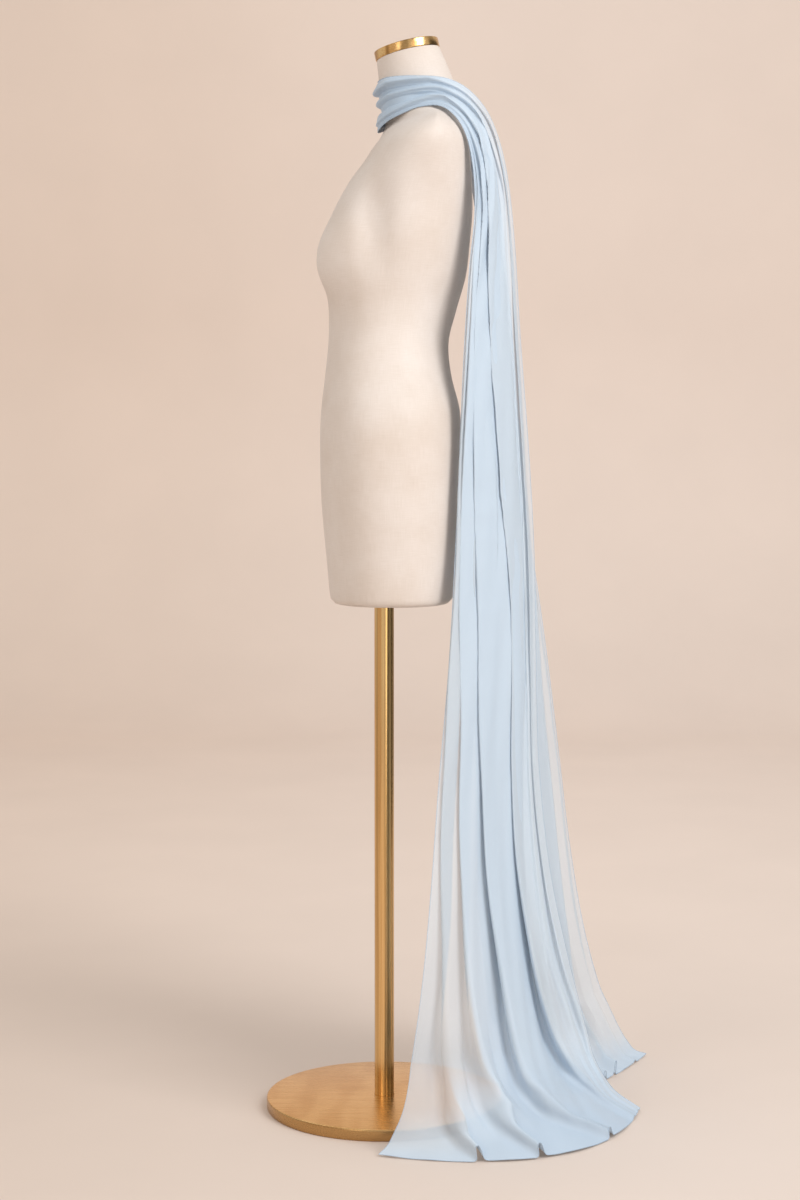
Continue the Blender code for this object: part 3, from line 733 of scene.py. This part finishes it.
def build_rolled_hem(points, material):
    """The narrow rolled hem all round the scarf's edge."""
    line = bpy.data.curves.new("rolled hem line", "CURVE")
    line.dimensions = "3D"
    line.bevel_depth = HEM_RADIUS
    line.bevel_resolution = 1
    spline = line.splines.new("POLY")
    spline.points.add(len(points) - 1)
    for place, point in zip(spline.points, points):
        place.co = (*point, 1)
    spline.use_cyclic_u = True
    holder = bpy.data.objects.new("rolled hem line", line)
    bpy.context.scene.collection.objects.link(holder)
    mesh = bpy.data.meshes.new_from_object(holder)
    bpy.data.objects.remove(holder)
    return smooth_piece(placed("scarf_rolled_hem", mesh, material))


# --- Shader pieces -------------------------------------------------------------------------------
def add_node(tree, kind, place, **settings):
    node = tree.nodes.new(kind)
    node.location = place
    for name, value in settings.items():
        setattr(node, name, value)
    return node


def set_inputs(node, values):
    for name, value in values.items():
        node.inputs[name].default_value = value


def math_in(tree, operation, values, place):
    """One math operation on values, each of them a socket or a plain number."""
    node = add_node(tree, "ShaderNodeMath", place, operation=operation)
    for socket, value in zip(node.inputs, values):
        if isinstance(value, bpy.types.NodeSocket):
            tree.links.new(value, socket)
        else:
            socket.default_value = value
    return node.outputs[0]


def range_in(tree, value, place, before=(0, 1), after=(0, 1), kind="LINEAR"):
    """The value, moved from one range into another."""
    node = add_node(tree, "ShaderNodeMapRange", place, interpolation_type=kind)
    names = ("From Min", "From Max", "To Min", "To Max")
    set_inputs(node, dict(zip(names, (*before, *after))))
    tree.links.new(value, node.inputs["Value"])
    return node.outputs[0]


def multiply_in(tree, first, second, place):
    """Two colours multiplied."""
    blend = add_node(tree, "ShaderNodeMix", place, data_type="RGBA", blend_type="MULTIPLY")
    blend.inputs["Factor"].default_value = 1
    tree.links.new(first, blend.inputs["A"])
    tree.links.new(second, blend.inputs["B"])
    return blend.outputs["Result"]


def noise_in(tree, scale, detail, place, stretch=(1, 1, 1), where=None):
    """Noise through the piece's own space, or over the given coordinates."""
    if where is None:
        here = add_node(tree, "ShaderNodeTexCoord", (place[0] - 400, place[1]))
        where = here.outputs["Object"]
    mapping = add_node(tree, "ShaderNodeMapping", (place[0] - 200, place[1]))
    mapping.inputs["Scale"].default_value = stretch
    tree.links.new(where, mapping.inputs["Vector"])
    noise = add_node(tree, "ShaderNodeTexNoise", place)
    set_inputs(noise, {"Scale": scale, "Detail": detail})
    tree.links.new(mapping.outputs[0], noise.inputs["Vector"])
    return noise.outputs[0]


def ramp_in(tree, source, stops, place):
    """A colour from a value: each stop is a position and its colour."""
    ramp = add_node(tree, "ShaderNodeValToRGB", place)
    marks = ramp.color_ramp.elements
    while len(marks) < len(stops):
        marks.new(0.5)
    for mark, (position, colour) in zip(marks, stops):
        mark.position = position
        mark.color = (*colour, 1)
    tree.links.new(source, ramp.inputs["Fac"])
    return ramp.outputs[0]


def bump_in(tree, shader, height, strength, distance):
    bump = add_node(tree, "ShaderNodeBump", (-250, -400))
    set_inputs(bump, {"Strength": strength, "Distance": distance})
    tree.links.new(height, bump.inputs["Height"])
    tree.links.new(bump.outputs[0], shader.inputs["Normal"])


def plain_weave_group():
    """Threads going over and under each other, from flat coordinates in metres."""
    group = bpy.data.node_groups.new("plain weave", "ShaderNodeTree")
    face = group.interface
    face.new_socket(name="Flat", in_out="INPUT", socket_type="NodeSocketVector")
    face.new_socket(name="Threads per metre", in_out="INPUT", socket_type="NodeSocketFloat")
    face.new_socket(name="Slub", in_out="INPUT", socket_type="NodeSocketFloat")
    face.new_socket(name="Height", in_out="OUTPUT", socket_type="NodeSocketFloat")
    face.new_socket(name="Unevenness", in_out="OUTPUT", socket_type="NodeSocketFloat")
    enter = add_node(group, "NodeGroupInput", (-1100, 0))
    leave = add_node(group, "NodeGroupOutput", (700, 0))
    split = add_node(group, "ShaderNodeSeparateXYZ", (-900, 100))
    group.links.new(enter.outputs["Flat"], split.inputs[0])
    threads = enter.outputs["Threads per metre"]
    waves = []
    for k, axis in enumerate(("X", "Y")):
        row = 150 - 200 * k
        counted = math_in(group, "MULTIPLY", (split.outputs[axis], threads), (-700, row))
        turned = math_in(group, "MULTIPLY", (counted, math.pi), (-520, row))
        waves.append(math_in(group, "SINE", (turned,), (-340, row)))
    crossed = math_in(group, "MULTIPLY", waves, (-160, 100))
    uneven = []
    for k, stretch in enumerate(((900, 40, 1), (40, 900, 1))):
        place = (-520, -300 - 300 * k)
        uneven.append(noise_in(group, 1, 2, place, stretch, enter.outputs["Flat"]))
    both = math_in(group, "ADD", uneven, (-300, -400))
    half = math_in(group, "MULTIPLY", (both, 0.5), (-120, -400))
    height = add_node(group, "ShaderNodeMix", (200, 0), data_type="FLOAT")
    group.links.new(enter.outputs["Slub"], height.inputs["Factor"])
    group.links.new(crossed, height.inputs["A"])
    group.links.new(half, height.inputs["B"])
    group.links.new(height.outputs["Result"], leave.inputs["Height"])
    group.links.new(half, leave.inputs["Unevenness"])
    return group


def weave_in(tree, group, threads, slub):
    flat = add_node(tree, "ShaderNodeUVMap", (-1150, 0), uv_map="flat")
    weave = add_node(tree, "ShaderNodeGroup", (-900, 0), node_tree=group)
    set_inputs(weave, {"Threads per metre": threads, "Slub": slub})
    tree.links.new(flat.outputs["UV"], weave.inputs["Flat"])
    return weave


# --- Finishes ------------------------------------------------------------------------------------
def new_material(name):
    made = bpy.data.materials.new(name)
    made.use_nodes = True
    tree = made.node_tree
    shader = tree.nodes["Principled BSDF"]
    return made, tree, shader


def linen_finish(weave_group):
    made, tree, shader = new_material("cream linen")
    weave = weave_in(tree, weave_group, 1400, 0.55)
    patches = noise_in(tree, 9, 4, (-700, 450))
    tone = ramp_in(tree, patches, LINEN_TONES, (-480, 450))
    thread = ramp_in(tree, weave.outputs["Unevenness"], THREAD_TONES, (-480, 150))
    colour = multiply_in(tree, tone, thread, (-200, 300))
    tree.links.new(colour, shader.inputs["Base Color"])
    set_inputs(shader, {"Roughness": 0.85, "Sheen Weight": 0.15, "Sheen Roughness": 0.5})
    bump_in(tree, shader, weave.outputs["Height"], 0.35, 0.0004)
    return made


def chiffon_finish(weave_group):
    """Sheer cloth, less see-through and deeper in colour where layers lie together, and darkest
    near four layers as painted shade on the train lit on the floor.
    """
    made, tree, shader = new_material("powder blue chiffon")
    weave = weave_in(tree, weave_group, 2600, 0.35)
    layers = add_node(tree, "ShaderNodeAttribute", (-1100, 500), attribute_name="layers")
    count = layers.outputs["Fac"]
    passing = math_in(tree, "POWER", (SEEN_THROUGH_A_LAYER, count), (-850, 500))
    cover = math_in(tree, "SUBTRACT", (1, passing), (-650, 500))
    tree.links.new(cover, shader.inputs["Alpha"])
    depth = range_in(tree, count, (-850, 750), before=(1, MOST_LAYERS))
    tone = ramp_in(tree, depth, CHIFFON_LAYER_AND_SHADE_TONES, (-600, 750))
    tree.links.new(tone, shader.inputs["Base Color"])
    set_inputs(shader, {"Roughness": 0.55, "Sheen Weight": 0.35, "Sheen Roughness": 0.35})
    set_inputs(shader, {"Specular IOR Level": 0.25})
    bump_in(tree, shader, weave.outputs["Height"], 0.15, 0.0002)
    return made


def hem_finish():
    made, tree, shader = new_material("rolled chiffon hem")
    noise = noise_in(tree, 900, 2, (-500, 200))
    tone = ramp_in(tree, noise, HEM_TONES, (-250, 200))
    tree.links.new(tone, shader.inputs["Base Color"])
    set_inputs(shader, {"Roughness": 0.6, "Alpha": 0.5})
    return made


def painted_rim_shade(tree, colour, radius):
    """The colour, darkened outside the radius: painted shade on the rim's reflection."""
    where = add_node(tree, "ShaderNodeTexCoord", (-1200, 700))
    flat = add_node(tree, "ShaderNodeVectorMath", (-1000, 700), operation="MULTIPLY")
    flat.inputs[1].default_value = (1, 1, 0)
    tree.links.new(where.outputs["Object"], flat.inputs[0])
    reach = add_node(tree, "ShaderNodeVectorMath", (-800, 700), operation="LENGTH")
    tree.links.new(flat.outputs[0], reach.inputs[0])
    edge = (radius - 0.0012, radius - 0.0004)
    rim = range_in(tree, reach.outputs["Value"], (-600, 700), before=edge)
    # painted shade: outside the radius the brass colour is darkened
    rim_shade = add_node(tree, "ShaderNodeMix", (-200, 350), data_type="RGBA")
    tree.links.new(rim, rim_shade.inputs["Factor"])
    tree.links.new(colour, rim_shade.inputs["A"])
    rim_shade.inputs["B"].default_value = (*RIM_SHADE_BRASS, 1)
    return rim_shade.outputs["Result"]


def brass_finish(name, rim_radius=None):
    """Brass brushed in one direction, with broad soft bands of painted reflection streaks that run
    the same way.
    """
    stretch, polish, grain, painted_streak_stretch, painted_streak_shade = BRASS_FINISHES[name]
    made, tree, shader = new_material(name)
    brushing = noise_in(tree, 1, 4, (-700, 0), stretch)
    tone = ramp_in(tree, brushing, BRASS_TONES, (-450, 250))
    # painted reflection streaks: lengthwise bands of noise that darken the brass colour
    painted_streak = noise_in(tree, 1, 1, (-700, -350), painted_streak_stretch)
    dark = (painted_streak_shade, painted_streak_shade * 0.94, painted_streak_shade * 0.86)
    shade = ramp_in(tree, painted_streak, ((0.40, dark), (0.56, (1, 1, 1))), (-450, -350))
    colour = multiply_in(tree, tone, shade, (-330, 150))
    if rim_radius:
        colour = painted_rim_shade(tree, colour, rim_radius)
    tree.links.new(colour, shader.inputs["Base Color"])
    shader.inputs["Metallic"].default_value = 1
    rough = range_in(tree, brushing, (-450, 0), after=(polish - 0.04, polish + 0.06))
    tree.links.new(rough, shader.inputs["Roughness"])
    bump_in(tree, shader, brushing, grain, 0.0003)
    return made


def paint_finish(name):
    """Matt paint with painted shade: darker to the left, on the near floor and low on the wall."""
    made, tree, shader = new_material(name)
    where = add_node(tree, "ShaderNodeTexCoord", (-1100, 500))
    split = add_node(tree, "ShaderNodeSeparateXYZ", (-900, 500))
    tree.links.new(where.outputs["Object"], split.inputs[0])
    side_y = split.outputs["Y"]
    # painted shade: the left side darker than the right
    side = range_in(tree, side_y, (-700, 600), PAINT_SHADE_SIDES, kind="SMOOTHSTEP")
    tone = ramp_in(tree, side, ((0.0, PAINT_LEFT_SHADED), (1.0, PAINT_RIGHT_LIT)), (-450, 600))
    near_x = split.outputs["X"]
    near = range_in(tree, near_x, (-700, 400), PAINT_SHADE_DEPTHS, (1, FLOOR_SHADE), "SMOOTHSTEP")
    high_z = split.outputs["Z"]
    high = range_in(tree, high_z, (-700, 200), after=(LOW_WALL_SHADE, 1), kind="SMOOTHSTEP")
    # painted shade: darker on the near floor and low on the wall
    lift = math_in(tree, "MULTIPLY", (near, high), (-480, 300))
    patches = noise_in(tree, 2.2, 4, (-700, 0))
    uneven = range_in(tree, patches, (-450, 0), after=(0.96, 1.04))
    share = math_in(tree, "MULTIPLY", (lift, uneven), (-250, 200))
    paint = add_node(tree, "ShaderNodeVectorMath", (-150, 450), operation="SCALE")
    tree.links.new(tone, paint.inputs[0])
    tree.links.new(share, paint.inputs["Scale"])
    tree.links.new(paint.outputs[0], shader.inputs["Base Color"])
    set_inputs(shader, {"Roughness": 0.95, "Specular IOR Level": 0.1})
    return made


# --- Room ----------------------------------------------------------------------------------------
def build_room():
    """A pale floor that turns up into the wall behind in one wide curve."""
    shape = bmesh.new()
    start = shape.verts.new((ROOM_FRONT, -ROOM_HALF_WIDTH, 0))
    corner = shape.verts.new((ROOM_BEND, -ROOM_HALF_WIDTH, 0))
    shape.edges.new((start, corner))
    bend = bmesh.ops.spin(
        shape,
        geom=[corner],
        cent=(ROOM_BEND, -ROOM_HALF_WIDTH, BEND_RADIUS),
        axis=(0, 1, 0),
        angle=math.radians(90),
        steps=24,
        use_merge=False,
    )["geom_last"]
    raised = bmesh.ops.extrude_vert_indiv(shape, verts=corners_in(bend))["verts"]
    bmesh.ops.translate(shape, verts=raised, vec=(0, 0, WALL_RISE))
    swept = bmesh.ops.extrude_edge_only(shape, edges=list(shape.edges))["geom"]
    bmesh.ops.translate(shape, verts=corners_in(swept), vec=(0, 2 * ROOM_HALF_WIDTH, 0))
    bmesh.ops.recalc_face_normals(shape, faces=shape.faces)
    room = placed_shape("room", shape, paint_finish("warm beige paint"))
    room.data.shade_smooth()


def turned_to(place, target, forward):
    return (Vector(target) - Vector(place)).to_track_quat(forward, "Y").to_euler()


def soft_light(name, place, target, size, power, colour):
    lamp = bpy.data.lights.new(name, "AREA")
    lamp.shape = "RECTANGLE"
    lamp.size, lamp.size_y = size
    lamp.energy = power
    lamp.color = colour
    made = bpy.data.objects.new(name, lamp)
    bpy.context.scene.collection.objects.link(made)
    made.location = place
    made.rotation_euler = turned_to(place, target, "-Z")
    made.visible_camera = False


def mirror_card(name, place, target, size, glow, colour):
    """A card that only shows as a reflection in the brass."""
    shape = bmesh.new()
    bmesh.ops.create_grid(shape, x_segments=1, y_segments=1, size=0.5)
    bmesh.ops.scale(shape, verts=shape.verts, vec=(*size, 1))
    made, _, shader = new_material(name)
    set_inputs(shader, {"Base Color": (0, 0, 0, 1), "Roughness": 1, "Specular IOR Level": 0})
    set_inputs(shader, {"Emission Color": (*colour, 1), "Emission Strength": glow})
    card = placed_shape(name, shape, made)
    card.location = place
    card.rotation_euler = turned_to(place, target, "Z")
    card.visible_camera = False
    card.visible_diffuse = False
    card.visible_shadow = False
    card.visible_transmission = False


def light_room():
    world = bpy.data.worlds.new("soft studio")
    bpy.context.scene.world = world
    world.use_nodes = True
    glow = world.node_tree.nodes["Background"]
    set_inputs(glow, {"Color": (*AIR_COLOUR, 1), "Strength": AIR_GLOW})
    for lamp in LAMPS:
        soft_light(*lamp)
    for card in CARDS:
        mirror_card(*card)


def place_camera():
    lens = bpy.data.cameras.new("camera")
    lens.lens = CAMERA_LENS
    lens.sensor_width = CAMERA_SENSOR
    camera = bpy.data.objects.new("camera", lens)
    bpy.context.scene.collection.objects.link(camera)
    camera.location = CAMERA_PLACE
    look = Vector((-math.cos(CAMERA_PITCH), 0, -math.sin(CAMERA_PITCH)))
    camera.rotation_euler = look.to_track_quat("-Z", "Y").to_euler()
    bpy.context.scene.camera = camera


def main():
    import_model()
    bpy.context.scene.view_settings.view_transform = "Standard"
    place_camera()
    build_room()
    light_room()
    weave_group = plain_weave_group()
    form = build_form(linen_finish(weave_group))
    bpy.context.view_layer.update()
    scarf, edge = build_scarf(chiffon_finish(weave_group), form)
    hem = build_rolled_hem(edge, hem_finish())
    build_stand()


main()
